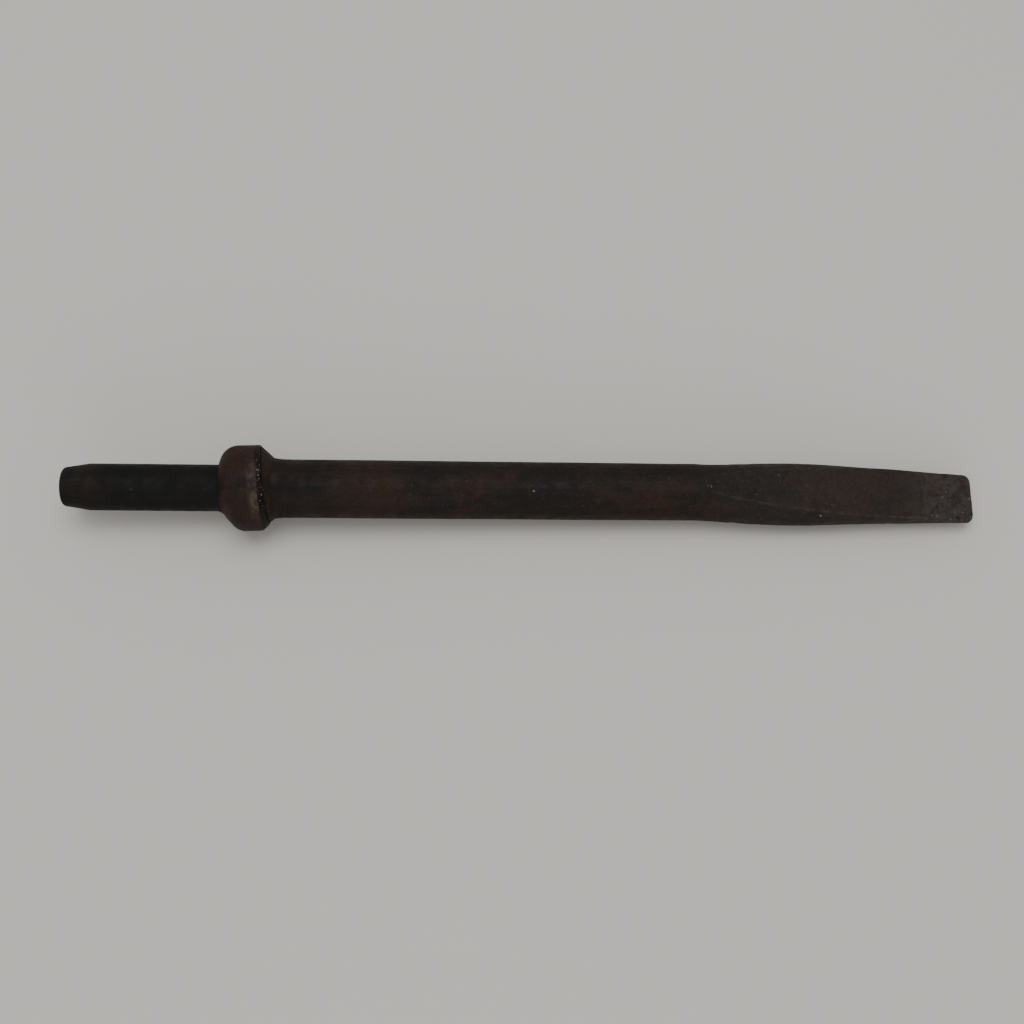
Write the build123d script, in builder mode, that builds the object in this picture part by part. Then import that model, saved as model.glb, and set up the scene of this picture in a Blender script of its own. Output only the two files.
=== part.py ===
from build123d import *

import math
import os

# A flat chisel for a small pneumatic chipping hammer, in millimetres.
#
# The tool lies along +X: the struck end of the shank is at the origin and the cutting edge points to +X.
# The blade's flats face up and down, so the cutting edge runs along Y, and +Z is up.
#
# It is three pieces:
#   chisel_bar   the forging: plain round shank, collar seat, shoulder, round body and flat blade
#   collar_ring  the retaining collar, slipped over the shank on to its seat and up to the shoulder,
#                leaning a little
#   collar_weld  the fillet bead that joins the front of the collar to the body

# Overall
overall_length = 337.1

# Shank
shank_diameter = 17.3
shank_length = 57.9
struck_end_diameter = 14.1
struck_end_taper = 10.0
struck_end_round = 1.6
collar_seat_step = 0.35
collar_seat_showing = 0.2

# Body, a little thicker at the collar than at the blade
body_diameter = 21.8
body_front_diameter = 21.2

# Collar: a turned ring that leans a little, with a front face that leans more
collar_diameter = 31.7
collar_length = 16.2
collar_front_corner = 1.3
collar_rear_round = 6.5
collar_lean = 2.0
collar_front_lean = 6.5
collar_bore_clearance = 0.05

# Slope from the collar's crown down to the body, shared by the collar's front corner and the weld bead
front_slope = 45.0
weld_step_down = 0.3

# Blade, from its root towards the cutting edge
blade_length = 104.2
root_flat_width = 2.0
neck_from_root = 17.0
neck_width = 22.2
neck_flat_width = 11.0
neck_thickness = 18.9
belly_from_root = 35.0
belly_width = 23.5
belly_flat_width = 14.9
belly_thickness = 15.0
waist_from_root = 64.0
waist_width = 21.2
waist_flat_width = 18.9
waist_thickness = 9.6
taper_from_root = 86.0
taper_width = 18.9
taper_flat_width = 18.3
taper_thickness = 6.4
bevel_length = 7.0
bevel_thickness = 4.0
edge_width = 18.6
edge_flat_width = 18.2
edge_thickness = 1.2
edge_corner_round = 2.8

# The blade was drawn out slightly to one side, so its centre line drifts to -Y
neck_drift = 0.5
belly_drift = 0.6
waist_drift = 0.9
taper_drift = 1.4
bevel_drift = 1.7
edge_drift = 1.8

# Worked out from the sizes above
shank_radius = shank_diameter / 2
body_radius = body_diameter / 2
body_front_radius = body_front_diameter / 2
collar_radius = collar_diameter / 2
collar_middle = shank_length + collar_length / 2
collar_front = shank_length + collar_length
collar_lean_cos = math.cos(math.radians(collar_lean))
collar_lean_sin = math.sin(math.radians(collar_lean))
collar_front_lean_tan = math.tan(math.radians(collar_front_lean))
collar_flat_radius = collar_radius - collar_rear_round
collar_rearmost = collar_middle - collar_length / 2 * collar_lean_cos - collar_flat_radius * collar_lean_sin
collar_crown_length = collar_length - collar_front_corner
collar_seat_radius = shank_radius + collar_seat_step
collar_seat_start = collar_rearmost - collar_seat_showing
collar_bore_radius = collar_seat_radius + collar_bore_clearance
shoulder = collar_front + body_radius * collar_front_lean_tan
blade_root = overall_length - blade_length
neck = blade_root + neck_from_root
belly = blade_root + belly_from_root
waist = blade_root + waist_from_root
taper = blade_root + taper_from_root
bevel_start = overall_length - bevel_length
root_thickness = math.sqrt(body_front_diameter**2 - root_flat_width**2)


def blade_section(station, width, flat_width, thickness, drift=0.0):
    """A section across the blade: two flats, joined by a bowed side on each hand."""
    side = width / 2
    flat = flat_width / 2
    height = thickness / 2
    with BuildSketch(Plane((station, -drift, 0), x_dir=(0, 1, 0), z_dir=(1, 0, 0))) as section:
        with BuildLine():
            Line((-flat, height), (flat, height))
            ThreePointArc((flat, height), (side, 0), (flat, -height))
            Line((flat, -height), (-flat, -height))
            ThreePointArc((-flat, -height), (-side, 0), (-flat, height))
        make_face()
    return section.sketch


root_section = blade_section(blade_root, body_front_diameter, root_flat_width, root_thickness)
neck_section = blade_section(neck, neck_width, neck_flat_width, neck_thickness, neck_drift)
belly_section = blade_section(belly, belly_width, belly_flat_width, belly_thickness, belly_drift)
waist_section = blade_section(waist, waist_width, waist_flat_width, waist_thickness, waist_drift)
taper_section = blade_section(taper, taper_width, taper_flat_width, taper_thickness, taper_drift)
bevel_section = blade_section(bevel_start, edge_width, edge_flat_width, bevel_thickness, bevel_drift)
edge_section = blade_section(overall_length, edge_width, edge_flat_width, edge_thickness, edge_drift)

# The bar: shank, shoulder and body are turned about X, then the blade is drawn out of the body.
with BuildPart() as chisel_bar:
    with BuildSketch(Plane.XZ):
        with BuildLine():
            Polyline(
                (blade_root, 0),
                (0, 0),
                (0, struck_end_diameter / 2),
                (struck_end_taper, shank_radius),
                (collar_seat_start, shank_radius),
                (collar_seat_start, collar_seat_radius),
                (shoulder, collar_seat_radius),
                (shoulder, body_radius),
                (blade_root, body_front_radius),
                close=True,
            )
        make_face()
    revolve(axis=Axis.X)
    struck_edge = chisel_bar.edges().filter_by(GeomType.CIRCLE).sort_by(Axis.X)[0]
    fillet(struck_edge, radius=struck_end_round)

    # The drawn-out blade, then the two facets of the cutting bevel.
    drawn_sections = [root_section, neck_section, belly_section, waist_section, taper_section, bevel_section]
    loft(sections=drawn_sections)
    loft(sections=[bevel_section, edge_section], ruled=True)

    # The corners of the cutting edge, worn round as seen from above.
    with BuildSketch(Plane((overall_length, -edge_drift, 0))):
        with Locations((-edge_corner_round, edge_width / 2 - edge_corner_round)):
            Rectangle(2 * edge_corner_round, 2 * edge_corner_round, align=(Align.MIN, Align.MIN))
            Circle(edge_corner_round, mode=Mode.SUBTRACT)
        mirror(about=Plane.XZ)
    extrude(amount=bevel_thickness, both=True, mode=Mode.SUBTRACT)
chisel_bar.part.label = "chisel_bar"

# The collar: turned about its own leaning axis, then cut off at the front and bored along X.
collar_direction = Vector(1, 0, 0).rotate(Axis.Z, collar_lean)
collar_centre = Vector(collar_middle, 0, 0)
collar_axis = Axis(collar_centre, collar_direction)
collar_plane = Plane(collar_centre, x_dir=collar_direction, z_dir=collar_direction.cross(Vector(0, 0, 1)))
crown_front = collar_crown_length - collar_length / 2
front_slope_tan = math.tan(math.radians(front_slope))
front_direction = Vector(1, 0, 0).rotate(Axis.Z, collar_front_lean)
front_plane = Plane(Vector(collar_front, 0, 0), z_dir=front_direction)

with BuildPart() as collar_ring:
    with BuildSketch(collar_plane):
        with BuildLine():
            Polyline(
                (-collar_length / 2, 0),
                (-collar_length / 2, collar_radius),
                (crown_front, collar_radius),
                (crown_front + collar_radius / front_slope_tan, 0),
                close=True,
            )
        make_face()
    revolve(axis=collar_axis)
    rear_edge = collar_ring.edges().filter_by(GeomType.CIRCLE).sort_by(Axis.X)[0]
    fillet(rear_edge, radius=collar_rear_round)
    split(bisect_by=front_plane, keep=Keep.BOTTOM)
    with BuildSketch(Plane.YZ):
        Circle(collar_bore_radius)
    extrude(amount=overall_length, mode=Mode.SUBTRACT)
collar_ring.part.label = "collar_ring"

# The weld bead: carries the slope of the collar's front corner on down to the body, a small step
# lower, and fills the wedge between the leaning front face and the shoulder.
weld_rear = crown_front - weld_step_down / front_slope_tan
weld_front = weld_rear + (collar_radius - shank_radius) / front_slope_tan

with BuildPart() as collar_weld:
    with BuildSketch(collar_plane):
        with BuildLine():
            Polyline(
                (weld_rear - collar_length / 4, shank_radius),
                (weld_rear - collar_length / 4, collar_radius),
                (weld_rear, collar_radius),
                (weld_front, shank_radius),
                close=True,
            )
        make_face()
    revolve(axis=collar_axis)
    split(bisect_by=front_plane, keep=Keep.TOP)
    add(chisel_bar.part, mode=Mode.SUBTRACT)
collar_weld.part.label = "collar_weld"

os.makedirs("parts", exist_ok=True)
export_step(chisel_bar.part, "parts/chisel_bar.step")
export_step(collar_ring.part, "parts/collar_ring.step")
export_step(collar_weld.part, "parts/collar_weld.step")
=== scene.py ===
import math

import bpy
import numpy as np
from mathutils import Matrix, Vector, noise
from mathutils.bvhtree import BVHTree


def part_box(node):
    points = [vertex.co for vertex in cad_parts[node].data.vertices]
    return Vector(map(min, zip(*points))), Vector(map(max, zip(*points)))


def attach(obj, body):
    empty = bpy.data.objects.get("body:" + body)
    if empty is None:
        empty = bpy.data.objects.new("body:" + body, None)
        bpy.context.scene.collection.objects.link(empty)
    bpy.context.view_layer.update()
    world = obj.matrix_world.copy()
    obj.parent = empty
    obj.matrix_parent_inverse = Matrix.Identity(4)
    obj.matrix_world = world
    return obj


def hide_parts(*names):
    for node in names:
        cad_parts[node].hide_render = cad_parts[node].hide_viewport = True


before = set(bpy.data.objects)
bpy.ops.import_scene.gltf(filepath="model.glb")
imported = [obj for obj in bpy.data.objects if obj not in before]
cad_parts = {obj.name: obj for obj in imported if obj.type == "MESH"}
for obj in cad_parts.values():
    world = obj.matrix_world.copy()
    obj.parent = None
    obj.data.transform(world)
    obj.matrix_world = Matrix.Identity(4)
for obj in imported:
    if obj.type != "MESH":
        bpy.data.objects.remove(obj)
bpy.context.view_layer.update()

# A flat chisel for a chipping hammer, lying on its collar and on its body where the blade begins.
# Lengths are metres in the frame's own axes: +X towards the cutting edge, +Y along that edge, and
# +Z up from the blade's flats.
MM = 0.001

bar_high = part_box("chisel_bar")[1]
ring_low, ring_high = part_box("collar_ring")
weld_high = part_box("collar_weld")[1]

TOOL_LENGTH = bar_high.x
BODY_RADIUS = bar_high.z
COLLAR_RADIUS = ring_high.z
WELD_FRONT = weld_high.x
WELD_LEG = weld_high.z - BODY_RADIUS

# The two lengths that the frame doesn't list: the blade's, and the rounding of the collar's rear edge.
BLADE_LENGTH = 104.2 * MM
REAR_ROUND = 6.5 * MM
BLADE_ROOT = TOOL_LENGTH - BLADE_LENGTH

# Rays are cast a little off the axes, so that none runs along a seam of the CAD surfaces.
SECTION_RAYS = 480
RAY_OFFSET = 0.37


# ---------------------------------------------------------------- small maths

def smooth(low, high, value):
    """0 below low, 1 above high and a smooth step between."""
    t = np.clip((value - low) / (high - low), 0.0, 1.0)
    return t * t * (3 - 2 * t)


def fractal(points, scale, octaves=4, seed=0.0, stretch=(1, 1, 1)):
    """Fractal noise of about -1 to 1 at each point, for features of roughly the given size."""
    k = np.array(stretch, float) / scale
    shift = Vector((seed, seed * 1.7, seed * 2.3))
    return np.array([noise.fractal(Vector(p * k) + shift, 0.9, 2.1, octaves) for p in points])


def draw(place):
    """A number from 0 to 1 that looks random and is always the same at the same place."""
    return noise.cell(place) * 0.5 + 0.5


def pits(points, cell, depth, share, seed=0.0):
    """Round pits, at most one to a cell of the given size, in the given share of the cells."""
    shift = Vector((seed, seed * 1.3, seed * 0.7))
    out = np.zeros(len(points))
    for i, p in enumerate(points):
        distances, sites = noise.voronoi(Vector(p / cell) + shift)
        chance = draw(sites[0] * 51.3)
        if chance < share:
            radius = 0.16 + 0.26 * draw(sites[0] * 93.1 + shift)
            out[i] = -depth * (1 - min(distances[0] / radius, 1.0) ** 2) * (0.5 + chance / share)
    return out


# ---------------------------------------------------------------- surfaces from the frame

def tree_of(node):
    """The CAD node's surface, for casting rays at."""
    return BVHTree.FromObject(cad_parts[node], bpy.context.evaluated_depsgraph_get())


def ray_section(tree, centre, across, up):
    """The outline met by rays that leave centre in the plane of across and up."""
    outline = []
    for step in range(SECTION_RAYS):
        turn = math.tau * (step + RAY_OFFSET) / SECTION_RAYS
        direction = across * math.cos(turn) + up * math.sin(turn)
        outline.append(tree.ray_cast(centre, direction)[0])
    return np.array(outline)


def lengths_along(outline):
    """How far each point of a closed outline is along it, and last the whole way round."""
    steps = np.linalg.norm(np.roll(outline, -1, 0) - outline, axis=1)
    return np.concatenate([[0], np.cumsum(steps)])


def resample(outline, count):
    """The closed outline as count points, evenly spaced, from the same start."""
    along = lengths_along(outline)
    closed = np.vstack([outline, outline[:1]])
    even = np.linspace(0, along[-1], count, endpoint=False)
    return np.stack([np.interp(even, along, closed[:, k]) for k in range(3)], 1)


def soften(outline, reach):
    """Rounds a closed outline's corners over about reach, as wear does."""
    points = resample(outline, len(outline))
    spacing = lengths_along(outline)[-1] / len(outline)
    half = max(1, int(3 * reach / spacing))
    offsets = np.arange(-half, half + 1)
    weights = np.exp(-0.5 * (offsets * spacing / reach) ** 2)
    weights /= weights.sum()
    return sum(w * np.roll(points, k, 0) for k, w in zip(offsets, weights))


def grid_normals(grid, wrap):
    """Outward normals of a grid of points whose second direction is closed."""
    around = np.roll(grid, -1, 1) - np.roll(grid, 1, 1)
    if wrap:
        along = np.roll(grid, -1, 0) - np.roll(grid, 1, 0)
    else:
        along = np.gradient(grid, axis=0)
    normals = np.cross(around, along)
    normals /= np.linalg.norm(normals, axis=2, keepdims=True) + 1e-12
    return normals


def quads(rows, count, wrap):
    """The faces between a grid's rows of count points. wrap joins the last row to the first."""
    faces = []
    for i in range(rows if wrap else rows - 1):
        a, b = i * count, (i + 1) % rows * count
        for j in range(count):
            k = (j + 1) % count
            faces.append((a + j, a + k, b + k, b + j))
    return faces


def fan(start, count, middle, flip):
    """The triangles from a row's points to the point numbered middle."""
    faces = []
    for j in range(count):
        pair = (start + j, start + (j + 1) % count)
        faces.append((*(pair[::-1] if flip else pair), middle))
    return faces


def grid_mesh(name, grid, wrap):
    """A mesh over the grid. One that doesn't wrap has its first and last row closed to a point."""
    rows, count = grid.shape[:2]
    points = [tuple(p) for p in grid.reshape(-1, 3)]
    faces = quads(rows, count, wrap)
    if not wrap:
        for row, flip in ((0, True), (rows - 1, False)):
            faces += fan(row * count, count, len(points), flip)
            points.append(tuple(grid[row].mean(0)))
    mesh = bpy.data.meshes.new(name)
    mesh.from_pydata(points, [], faces)
    mesh.validate()
    mesh.shade_smooth()
    piece = bpy.data.objects.new(name, mesh)
    bpy.context.scene.collection.objects.link(piece)
    return piece


def sharpness(grid):
    """0 where each closed section of the grid is smooth, 1 where it turns a corner."""
    back, ahead = grid - np.roll(grid, 1, 1), np.roll(grid, -1, 1) - grid
    back_length, ahead_length = np.linalg.norm(back, axis=2), np.linalg.norm(ahead, axis=2)
    bend = 1 - (back * ahead).sum(2) / (back_length * ahead_length + 1e-12)
    turn = np.sqrt(np.clip(2 * bend, 0, None)) / (back_length + 1e-9)
    return smooth(0.2 / MM, 0.75 / MM, turn)


def mark_corners(piece, corners):
    """Stores one number for each point of the piece's grid as its corner attribute."""
    values = np.zeros(len(piece.data.vertices), np.float32)
    values[:corners.size] = corners.ravel()
    piece.data.attributes.new("corner", "FLOAT", "POINT").data.foreach_set("value", values)


def displaced(grid, wrap, depth):
    """The grid moved along its normals by depth(points), which gives metres."""
    normals = grid_normals(grid, wrap)
    amount = depth(grid.reshape(-1, 3)).reshape(grid.shape[:2] + (1,))
    return grid + normals * amount


def front_face():
    """Where the collar's front face crosses the axis, and how far it goes along X for each metre of Y."""
    tree = tree_of("collar_ring")
    back, reach = Vector((-1, 0, 0)), 11.5 * MM
    far, near = (tree.ray_cast(Vector((TOOL_LENGTH, y, 0)), back)[0].x for y in (reach, -reach))
    return (far + near) / 2, (far - near) / (2 * reach)


FRONT, FRONT_SLOPE = front_face()
SHOULDER = FRONT - BODY_RADIUS * FRONT_SLOPE


def ahead_of_front(points):
    """How far each point is in front of the collar's leaning front face, along X."""
    return points[:, 0] - FRONT - FRONT_SLOPE * points[:, 1]


# ---------------------------------------------------------------- the bar

def bar_stations():
    """Places along the bar: close together at both ends and over the blade, wider on the plain body."""
    closest = 0.02 * MM
    last = TOOL_LENGTH - closest
    places = [0.0]
    while places[-1] < last - closest / 2:
        x = places[-1]
        from_end = min(x, TOOL_LENGTH - x)
        step = 0.5 * MM if x > BLADE_ROOT or x < SHOULDER else 0.6 * MM
        step = min(step, closest + from_end * 0.35)
        places.append(min(x + step, last))
    return places[1:]


def bar_depth(points):
    """Forging marks, scale and pits on the bar."""
    x = points[:, 0]
    on_shank = 1 - smooth(SHOULDER - 2 * MM, SHOULDER + 6 * MM, x)
    on_tip = smooth(TOOL_LENGTH - 26 * MM, TOOL_LENGTH - 8 * MM, x)
    on_blade = smooth(BLADE_ROOT - 10 * MM, BLADE_ROOT + 20 * MM, x)
    forged = fractal(points, 22 * MM, 2, 3.1, (0.4, 1, 1)) * (0.09 - 0.075 * on_shank + 0.04 * on_blade)
    lumps = fractal(points, 6 * MM, 3, 8.2) * (0.03 - 0.015 * on_shank + 0.02 * on_blade)
    crust = fractal(points, 1.7 * MM, 3, 1.4) * (0.022 + 0.05 * on_tip)
    few = pits(points, 5 * MM, 0.16, 0.25, 2.0) * (1 - 0.6 * on_shank)
    toe = 0.45 * smooth(SHOULDER, SHOULDER + 1 * MM, x) * np.exp(-np.abs(x - WELD_FRONT) / (1.4 * MM))
    many = pits(points, 1.9 * MM, 0.38, 0.65, 6.0) * on_tip
    return (forged + lumps + crust + few + many + toe) * MM


def make_bar():
    """The forging, skinned over its CAD solid, with rounded corners, hammer marks and pits."""
    tree = tree_of("chisel_bar")
    across, up = Vector((0, 1, 0)), Vector((0, 0, 1))
    rings = []
    for x in bar_stations():
        outline = ray_section(tree, Vector((x, 0, 0)), across, up)
        reach = 0.35 * MM if x > BLADE_ROOT else 0.15 * MM
        outline = soften(outline, reach)
        to_edge = np.clip((TOOL_LENGTH - x) / (0.7 * MM), 0.0, 1.0)
        outline[:, 2] *= math.sqrt(1 - (1 - to_edge) ** 2)
        rings.append(resample(outline, 144))
    struck = rings[0]
    middle = struck.mean(0)
    cap = [middle + (struck - middle) * share for share in np.linspace(0.06, 0.94, 14)]
    grid = np.array(cap + rings)
    corners = sharpness(grid)
    corners[:len(cap)] = 0
    bar = grid_mesh("forged_bar", displaced(grid, False, bar_depth), False)
    mark_corners(bar, corners)
    return bar


# ---------------------------------------------------------------- the collar and its weld

def turned_grid(node, ahead, centre_radius, turns, count, reach):
    """A ring-shaped node as a grid: one closed section for each turn about X.

    The rays leave from a circle of centre_radius that lies ahead of the collar's front face."""
    tree = tree_of(node)
    along = Vector((1, 0, 0))
    sections = []
    for step in range(turns):
        turn = math.tau * (step + RAY_OFFSET) / turns
        out = Vector((0, math.cos(turn), math.sin(turn)))
        centre = out * centre_radius
        centre.x = FRONT + FRONT_SLOPE * centre.y + ahead
        outline = ray_section(tree, centre, along, out)
        sections.append(resample(soften(outline, reach), count))
    return np.array(sections)


def collar_depth(points):
    """Dents and scale on the collar, with nicks along the rubbed front edge of its crown."""
    radius = np.hypot(points[:, 1], points[:, 2])
    outside = smooth(10.5 * MM, 12.5 * MM, radius)
    edge = smooth(14.2 * MM, 15.4 * MM, radius) * smooth(-3 * MM, -1 * MM, ahead_of_front(points))
    dents = fractal(points, 9 * MM, 3, 5.5) * 0.1
    crust = fractal(points, 1.8 * MM, 3, 2.6) * 0.035
    holes = pits(points, 3.5 * MM, 0.2, 0.3, 4.0)
    nicks = np.minimum(fractal(points, 2.4 * MM, 3, 9.9), 0.0) * 0.3 * edge
    side = smooth(0.1, 0.95, -points[:, 1] / (radius + 1e-9))
    rise = np.clip((radius - COLLAR_RADIUS) / REAR_ROUND + 1.15, 0, None)
    behind = np.clip((ring_low.x - points[:, 0]) / REAR_ROUND + 1.45, 0, None)
    facing = np.arctan2(rise, behind + 1e-9)
    off_bore = smooth(9.2 * MM, 10.0 * MM, radius)
    flattened = -side * off_bore * (1.3 * np.sin(2 * facing) ** 2 + 1.0 * np.cos(facing) ** 2)
    return ((dents + crust + holes + nicks) * outside + flattened) * MM


def make_collar():
    """The retaining ring."""
    grid = turned_grid("collar_ring", -8 * MM, 12 * MM, 216, 120, 0.3 * MM)
    collar = grid_mesh("retaining_collar", displaced(grid, True, collar_depth), True)
    mark_corners(collar, sharpness(grid))
    return collar


def weld_depth(points):
    """A shallow groove beside the collar, then faint overlapping ripples, lumps and pinholes."""
    turn = np.arctan2(points[:, 2], points[:, 1])
    ahead = ahead_of_front(points)
    outside = smooth(BODY_RADIUS, BODY_RADIUS + 0.8 * MM, np.hypot(points[:, 1], points[:, 2]))
    wander = fractal(points, 7 * MM, 2, 3.3) * 1.2
    ripple = np.abs(np.sin(turn * 16 + wander + 300 * (ahead - 1.5 * MM))) - 0.6
    groove = 1 - smooth(0.2 * MM, 1.1 * MM, ahead)
    beads = np.abs(np.sin(turn * 20 + wander)) * groove
    lumps = fractal(points, 2.2 * MM, 3, 7.1)
    holes = pits(points, 2.2 * MM, 0.2, 0.3, 1.0)
    return (0.08 * ripple - 0.35 * groove + 0.25 * beads + 0.14 * lumps + holes) * outside * MM


def make_weld():
    """The fillet bead in front of the collar."""
    grid = turned_grid("collar_weld", 0.15 * WELD_LEG, BODY_RADIUS + 0.2 * WELD_LEG, 420, 60, 0.12 * MM)
    weld = grid_mesh("weld_bead", displaced(grid, True, weld_depth), True)
    mark_corners(weld, sharpness(grid))
    return weld


# ---------------------------------------------------------------- materials

class Nodes:
    """A short way to write a material's nodes. Sizes are in metres on the tool."""

    def __init__(self, name):
        self.material = bpy.data.materials.new(name)
        self.material.use_nodes = True
        self.tree = self.material.node_tree
        self.shader = self.tree.nodes["Principled BSDF"]
        self.place = self.tree.nodes.new("ShaderNodeNewGeometry").outputs["Position"]

    def link(self, value, socket):
        """Joins another node's output to the socket, or sets the socket to a plain number or colour."""
        if isinstance(value, bpy.types.NodeSocket):
            self.tree.links.new(value, socket)
        else:
            socket.default_value = value

    def scaled(self, stretch):
        node = self.tree.nodes.new("ShaderNodeVectorMath")
        node.operation = "MULTIPLY"
        self.link(self.place, node.inputs[0])
        node.inputs[1].default_value = stretch
        return node.outputs[0]

    def noise(self, size, detail=6.0, rough=0.6, stretch=(1, 1, 1), warp=0.0):
        node = self.tree.nodes.new("ShaderNodeTexNoise")
        self.link(self.scaled(stretch), node.inputs["Vector"])
        node.inputs["Scale"].default_value = 1 / size
        node.inputs["Detail"].default_value = detail
        node.inputs["Roughness"].default_value = rough
        node.inputs["Distortion"].default_value = warp
        return node.outputs["Fac"]

    def spots(self, size):
        """The distance to the middle of the nearest cell, and that cell's own number from 0 to 1."""
        node = self.tree.nodes.new("ShaderNodeTexVoronoi")
        self.link(self.place, node.inputs["Vector"])
        node.inputs["Scale"].default_value = 1 / size
        return node.outputs["Distance"], self.math("MULTIPLY", node.outputs["Color"], 1.0)

    def range(self, value, low, high, out_low=0.0, out_high=1.0):
        node = self.tree.nodes.new("ShaderNodeMapRange")
        node.interpolation_type = "SMOOTHSTEP"
        self.link(value, node.inputs["Value"])
        for key, number in zip(("From Min", "From Max", "To Min", "To Max"), (low, high, out_low, out_high)):
            node.inputs[key].default_value = number
        return node.outputs["Result"]

    def math(self, kind, first, second=0.0):
        node = self.tree.nodes.new("ShaderNodeMath")
        node.operation = kind
        self.link(first, node.inputs[0])
        self.link(second, node.inputs[1])
        return node.outputs[0]

    def mix(self, share, first, second):
        node = self.tree.nodes.new("ShaderNodeMix")
        node.data_type = "RGBA"
        self.link(share, node.inputs[0])
        self.link(first, node.inputs[6])
        self.link(second, node.inputs[7])
        return node.outputs[2]

    def axis(self, letter):
        node = self.tree.nodes.new("ShaderNodeSeparateXYZ")
        self.link(self.place, node.inputs[0])
        return node.outputs[letter]

    def corner(self):
        """The corner attribute that mark_corners stored."""
        node = self.tree.nodes.new("ShaderNodeAttribute")
        node.attribute_name = "corner"
        return node.outputs["Fac"]

    def times(self, *values):
        product = values[0]
        for value in values[1:]:
            product = self.math("MULTIPLY", product, value)
        return product

    def bump(self, height, depth, strength):
        node = self.tree.nodes.new("ShaderNodeBump")
        node.inputs["Strength"].default_value = strength
        node.inputs["Distance"].default_value = depth
        self.link(height, node.inputs["Height"])
        self.link(node.outputs["Normal"], self.shader.inputs["Normal"])


# Colours of scale, rust and worn steel, and of the painted shade and painted glints in the collar's crease
CHARCOAL = (0.0094, 0.0072, 0.0064, 1)
OLIVE = (0.0124, 0.0090, 0.0070, 1)
BROWN = (0.0220, 0.0116, 0.0084, 1)
RUST = (0.0290, 0.0112, 0.0078, 1)
VIOLET = (0.0130, 0.0090, 0.0094, 1)
BARE = (0.0052, 0.0051, 0.0047, 1)
GREY = (0.0410, 0.0350, 0.0325, 1)
# Pale rubbed steel on worn corners and specks, and also the painted highlight on the collar's crown.
RUBBED_AND_SHEEN = (0.0600, 0.0440, 0.0370, 1)
ORANGE = (0.0900, 0.0400, 0.0150, 1)
# Painted highlight: the colour of the glints in the collar's crease.
GLINT = (0.1700, 0.1650, 0.1700, 1)
# Dark pits on the tip, and also the painted shade in the collar's crease.
PIT_AND_CREASE_SHADE = (0.0040, 0.0036, 0.0034, 1)
DUST = (0.1100, 0.1000, 0.0880, 1)


def scale_colour(n, rust_share):
    """Dark scale in patches, with thin brown and red rust over it."""
    patches = n.noise(14 * MM, 5, 0.6, (0.6, 1, 1), 0.6)
    colour = n.mix(n.range(patches, 0.42, 0.62), CHARCOAL, OLIVE)
    violet = n.noise(9 * MM, 5, 0.6, (0.5, 1, 1), 0.8)
    colour = n.mix(n.range(violet, 0.5, 0.72), colour, VIOLET)
    brown = n.noise(17 * MM, 6, 0.62, (0.5, 1, 1), 0.5)
    colour = n.mix(n.range(brown, 0.56 - rust_share, 0.70 - rust_share), colour, BROWN)
    rusty = n.noise(10 * MM, 7, 0.68, (0.55, 1, 1), 0.4)
    colour = n.mix(n.range(rusty, 0.66 - rust_share, 0.84 - rust_share), colour, RUST)
    grain = n.noise(0.7 * MM, 4, 0.7)
    colour = n.mix(n.range(grain, 0.42, 0.68, 0.0, 0.75), colour, CHARCOAL)
    crumbs = n.noise(1.1 * MM, 5, 0.75)
    return n.mix(n.range(crumbs, 0.55, 0.68, 0.0, 0.5), colour, GREY)


def with_specks(n, colour, size, share, shade):
    """Small round specks of shade over colour, one at most to a cell of the given size."""
    distance, chance = n.spots(size)
    chosen = n.range(chance, 1 - share, 1.01 - share)
    return n.mix(n.times(n.range(distance, 0.16, 0.09), chosen), colour, shade)


def with_wear(n, colour, amount):
    """Corners rubbed paler, in broken stretches."""
    broken = n.range(n.noise(3.0 * MM, 5, 0.7), 0.38, 0.62)
    return n.mix(n.times(n.corner(), broken, amount), colour, RUBBED_AND_SHEEN)


def with_scratches(n, colour, low, high):
    """Hair-thin pale scratches between two places along the tool."""
    lines = n.math("ABSOLUTE", n.math("SUBTRACT", n.noise(5 * MM, 1, 0.5, (0.5, 1, 1), 1.5), 0.5))
    hair = n.range(lines, 0.009, 0.003)
    short = n.range(n.noise(3.2 * MM, 2, 0.5), 0.62, 0.67)
    region = n.times(n.range(n.axis("X"), low, low + 8 * MM), n.range(n.axis("X"), high, high - 12 * MM))
    return n.mix(n.times(hair, short, region), colour, DUST)


def with_bare_shank(n, colour):
    """The shank's parallel part is rubbed free of rust by the hammer's bush."""
    behind = n.range(n.axis("X"), SHOULDER, SHOULDER - 12 * MM)
    along = n.times(n.range(n.axis("X"), 9 * MM, 22 * MM), behind)
    return n.mix(n.times(along, n.range(n.noise(12 * MM, 4, 0.6), 0.25, 0.55, 0.55, 1.0)), colour, BARE)


def with_dark_neck(n, colour):
    """Darker scale, with less rust, on the body's first stretch in front of the weld."""
    neck = n.range(n.axis("X"), WELD_FRONT + 45 * MM, WELD_FRONT, 0.0, 0.75)
    return n.mix(n.times(neck, n.range(n.noise(8 * MM, 5, 0.65), 0.35, 0.6, 0.4, 1.0)), colour, BARE)


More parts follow.
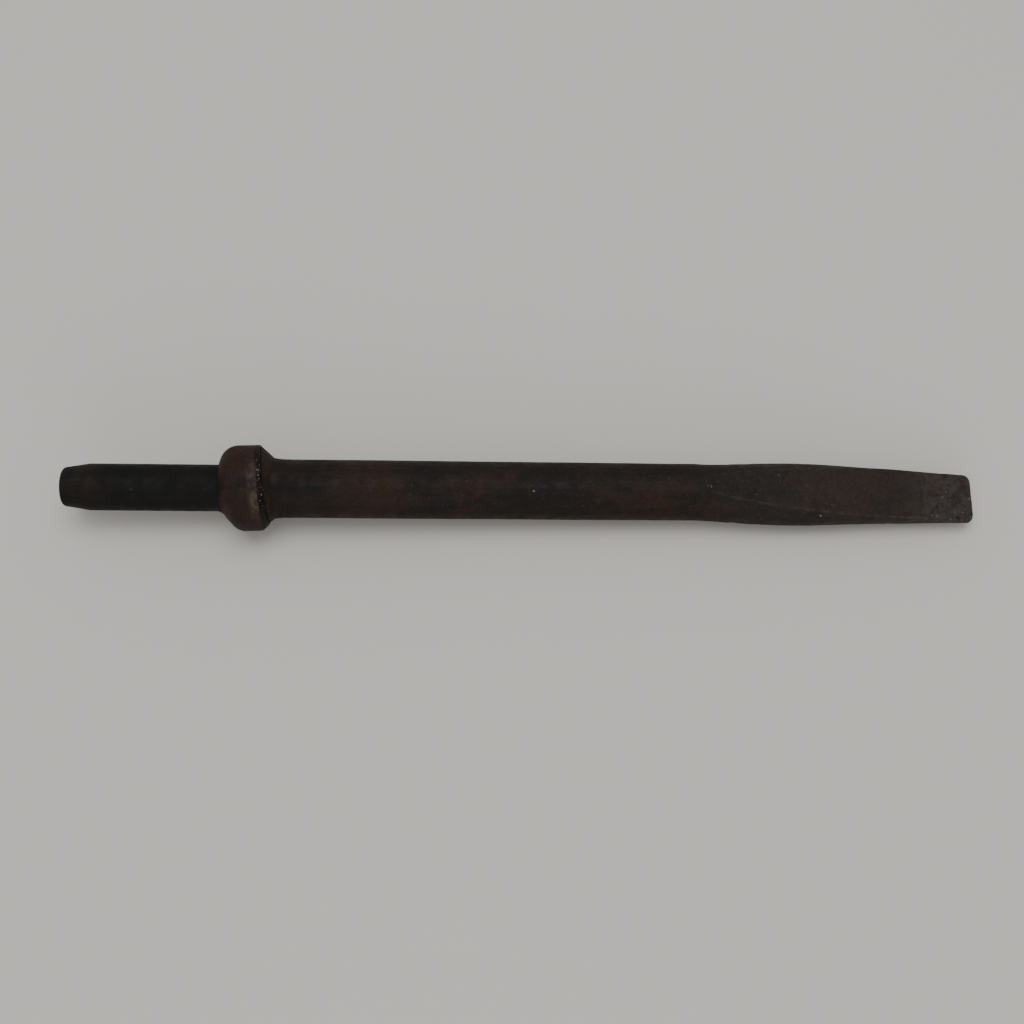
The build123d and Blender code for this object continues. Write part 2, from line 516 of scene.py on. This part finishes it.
def with_grey_tip(n, colour):
    """Greyer steel towards the cutting edge, most of all over its last pitted part."""
    blade = n.range(n.axis("X"), BLADE_ROOT - 15 * MM, BLADE_ROOT + 30 * MM, 0.0, 0.26)
    tip = n.range(n.axis("X"), TOOL_LENGTH - 29 * MM, TOOL_LENGTH - 13 * MM)
    colour = n.mix(n.times(blade, n.range(n.noise(1.6 * MM, 7, 0.78), 0.36, 0.62, 0.25, 1.15)), colour, GREY)
    colour = n.mix(n.times(tip, n.range(n.noise(2.8 * MM, 6, 0.78), 0.34, 0.6, 0.0, 0.9)), colour, GREY)
    rust = n.range(n.noise(6 * MM, 4, 0.6), 0.56, 0.68, 0.0, 0.6)
    colour = n.mix(n.times(tip, rust), colour, RUST)
    holes = n.range(n.noise(2.2 * MM, 5, 0.7), 0.58, 0.68, 0.0, 0.75)
    colour = n.mix(n.times(tip, holes), colour, PIT_AND_CREASE_SHADE)
    distance, chance = n.spots(1.5 * MM)
    bright = n.times(n.range(distance, 0.3, 0.15), n.range(chance, 0.7, 0.75), 0.7)
    return n.mix(n.times(tip, bright), colour, DUST)


def front_distance(n):
    """How far a point is in front of the collar's leaning front face, as a node value."""
    along = n.math("SUBTRACT", n.axis("X"), FRONT)
    return n.math("SUBTRACT", along, n.math("MULTIPLY", n.axis("Y"), FRONT_SLOPE))


def on_highlight_side(n, radius, low):
    """1 where a round surface of this radius faces up and a little to -Y, where painted highlights go, and
    low from 6 mm below there.
    """
    height = n.math("SUBTRACT", n.times(n.axis("Z"), 0.93), n.times(n.axis("Y"), 0.37))
    return n.range(height, radius - 6 * MM, radius - 1 * MM, low, 1.0)


def with_crown_ridge_wear_and_highlight(n, colour):
    """The top of the collar's crown is paler in a mottled band behind the crease: rubbed wear with a painted
    highlight.
    """
    ahead = front_distance(n)
    band = n.times(n.range(ahead, -6.2 * MM, -3.4 * MM), n.range(ahead, -1.3 * MM, -2.1 * MM))
    mottled = n.range(n.noise(3.4 * MM, 6, 0.72), 0.4, 0.64, 0.12, 1.0)
    # Rubbed wear with a painted highlight: the band shows mostly where the crown faces up and a little to
    # -Y.
    return n.mix(n.times(band, on_highlight_side(n, COLLAR_RADIUS, 0.1), mottled), colour, RUBBED_AND_SHEEN)


def with_crease_shade_and_glints(n, colour):
    """The crease where bead meets collar: painted shade, uneven, with small painted glints of highlight in
    it.
    """
    edge = n.math("ADD", front_distance(n), n.math("MULTIPLY", n.noise(2.5 * MM, 3, 0.6), 1.2 * MM))
    # Painted shade: the crease is darkened, unevenly.
    dark = n.times(n.range(edge, -1.5 * MM, -0.9 * MM), n.range(edge, 1.8 * MM, 0.6 * MM))
    uneven = n.range(n.noise(7 * MM, 3, 0.6), 0.35, 0.6, 0.35, 0.9)
    colour = n.mix(n.times(dark, uneven), colour, PIT_AND_CREASE_SHADE)
    # Painted highlights: small glints along the crease, mostly where it faces up and a little to -Y.
    distance, chance = n.spots(0.95 * MM)
    ragged = n.math("ADD", distance, n.math("MULTIPLY", n.noise(0.5 * MM, 3, 0.7), 0.5))
    speck = n.times(n.range(ragged, 0.64, 0.44), n.range(chance, 0.35, 0.7))
    band = n.times(n.range(edge, -0.9 * MM, -0.4 * MM), n.range(edge, 1.2 * MM, 0.7 * MM))
    return n.mix(n.times(speck, band, on_highlight_side(n, COLLAR_RADIUS, 0.15)), colour, GLINT)


def finish_steel(n, colour):
    """Matt steel of the given colour, with a fine grain."""
    n.link(colour, n.shader.inputs["Base Color"])
    n.link(n.range(n.noise(5 * MM, 5, 0.6), 0.3, 0.7, 0.5, 0.72), n.shader.inputs["Roughness"])
    n.shader.inputs["Metallic"].default_value = 0.0
    n.shader.inputs["Specular IOR Level"].default_value = 0.11
    n.bump(n.noise(0.9 * MM, 6, 0.65), 0.12 * MM, 0.7)
    return n.material


def bar_steel():
    n = Nodes("forged_scale")
    colour = with_dark_neck(n, with_bare_shank(n, scale_colour(n, 0.125)))
    colour = with_grey_tip(n, colour)
    colour = with_scratches(n, with_wear(n, colour, 0.55), BLADE_ROOT - 4 * MM, BLADE_ROOT + 58 * MM)
    colour = with_specks(n, colour, 2.6 * MM, 0.07, RUBBED_AND_SHEEN)
    return finish_steel(n, with_specks(n, colour, 3.4 * MM, 0.13, DUST))


def collar_steel():
    n = Nodes("collar_rust")
    colour = with_crease_shade_and_glints(n, with_wear(n, with_crown_ridge_wear_and_highlight(n, scale_colour(n, 0.135)), 0.3))
    colour = with_specks(n, colour, 2.6 * MM, 0.06, ORANGE)
    return finish_steel(n, with_specks(n, colour, 3.0 * MM, 0.1, DUST))


def weld_steel():
    n = Nodes("weld_rust")
    return finish_steel(n, with_crease_shade_and_glints(n, scale_colour(n, 0.09)))


def floor_material():
    """Plain pale matt paper."""
    n = Nodes("pale_floor")
    n.shader.inputs["Base Color"].default_value = (0.55, 0.53, 0.50, 1)
    n.shader.inputs["Roughness"].default_value = 0.9
    return n.material


# ---------------------------------------------------------------- the stage, light and camera

def resting_tilt(piece_list):
    """The floor's slope under the tool, and the point of the collar that it goes through."""
    points = np.array([v.co for piece in piece_list for v in piece.data.vertices])
    front_half = points[:, 0] > TOOL_LENGTH / 2
    front, rear = points[front_half], points[~front_half]
    slope = 0.0
    for _ in range(6):
        foot = rear[(rear[:, 2] - slope * rear[:, 0]).argmin()]
        slope = ((front[:, 2] - foot[2]) / (front[:, 0] - foot[0])).min()
    return math.atan(slope), Vector(foot)


def make_floor(tilt, foot):
    """A wide floor through foot, sloped so that the body touches it too."""
    bpy.ops.mesh.primitive_plane_add(size=40.0)
    floor = bpy.context.object
    floor.name = "floor"
    floor.rotation_euler = (0, -tilt, 0)
    floor.location = (foot.x, 0, foot.z)
    floor.data.materials.append(floor_material())


def make_lamp(name, size, power, offset):
    """A soft rectangular lamp, offset from the tool's middle and turned to it."""
    data = bpy.data.lights.new(name, "AREA")
    data.shape = "RECTANGLE"
    data.size, data.size_y = size
    data.energy = power
    lamp = bpy.data.objects.new(name, data)
    bpy.context.scene.collection.objects.link(lamp)
    target = Vector((TOOL_LENGTH / 2, 0, 0))
    lamp.location = target + Vector(offset)
    lamp.rotation_euler = (target - lamp.location).to_track_quat("-Z", "Y").to_euler()


def make_light():
    """One broad soft lamp overhead and a weak one low on the near side, in an evenly lit room."""
    make_lamp("soft_lamp", (1.2, 0.8), 14, (-0.1, 0.2, 1.6))
    make_lamp("fill_lamp", (1.2, 0.4), 4, (0.0, -1.3, 0.5))
    world = bpy.data.worlds.new("room")
    world.use_nodes = True
    world.node_tree.nodes["Background"].inputs["Color"].default_value = (1.0, 0.99, 0.97, 1)
    world.node_tree.nodes["Background"].inputs["Strength"].default_value = 0.62
    bpy.context.scene.world = world


def make_camera(tilt):
    """Looks steeply down from the near side, with the tool nearly level across the picture."""
    elevation = math.radians(72)
    roll = math.radians(-0.48)
    depth = 538.5 * MM
    across = 165.05 * MM
    below = 7.95 * MM
    floor_up = Vector((-math.sin(tilt), 0, math.cos(tilt)))
    back = floor_up * math.sin(elevation) + Vector((0, -math.cos(elevation), 0))
    tool = Vector((1, 0, 0))
    level = (tool - back * tool.dot(back)).normalized()
    right = Matrix.Rotation(-roll, 3, back) @ level
    up = back.cross(right)
    data = bpy.data.cameras.new("camera")
    data.sensor_width = 36
    data.lens = 51
    camera = bpy.data.objects.new("camera", data)
    bpy.context.scene.collection.objects.link(camera)
    place = tool * across - up * below + back * depth
    turn = Matrix((right, up, back)).transposed()
    camera.matrix_world = Matrix.Translation(place) @ turn.to_4x4()
    bpy.context.scene.camera = camera


def main():
    bar, collar, weld = make_bar(), make_collar(), make_weld()
    for piece, node, slot, material in (
        (bar, "chisel_bar", "bar", bar_steel()),
        (collar, "collar_ring", "collar", collar_steel()),
        (weld, "collar_weld", "weld", weld_steel()),
    ):
        piece.data.materials.append(material)
        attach(piece, "root")
        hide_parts(node)
    tilt, foot = resting_tilt((bar, collar, weld))
    make_floor(tilt, foot)
    make_light()
    make_camera(tilt)


main()
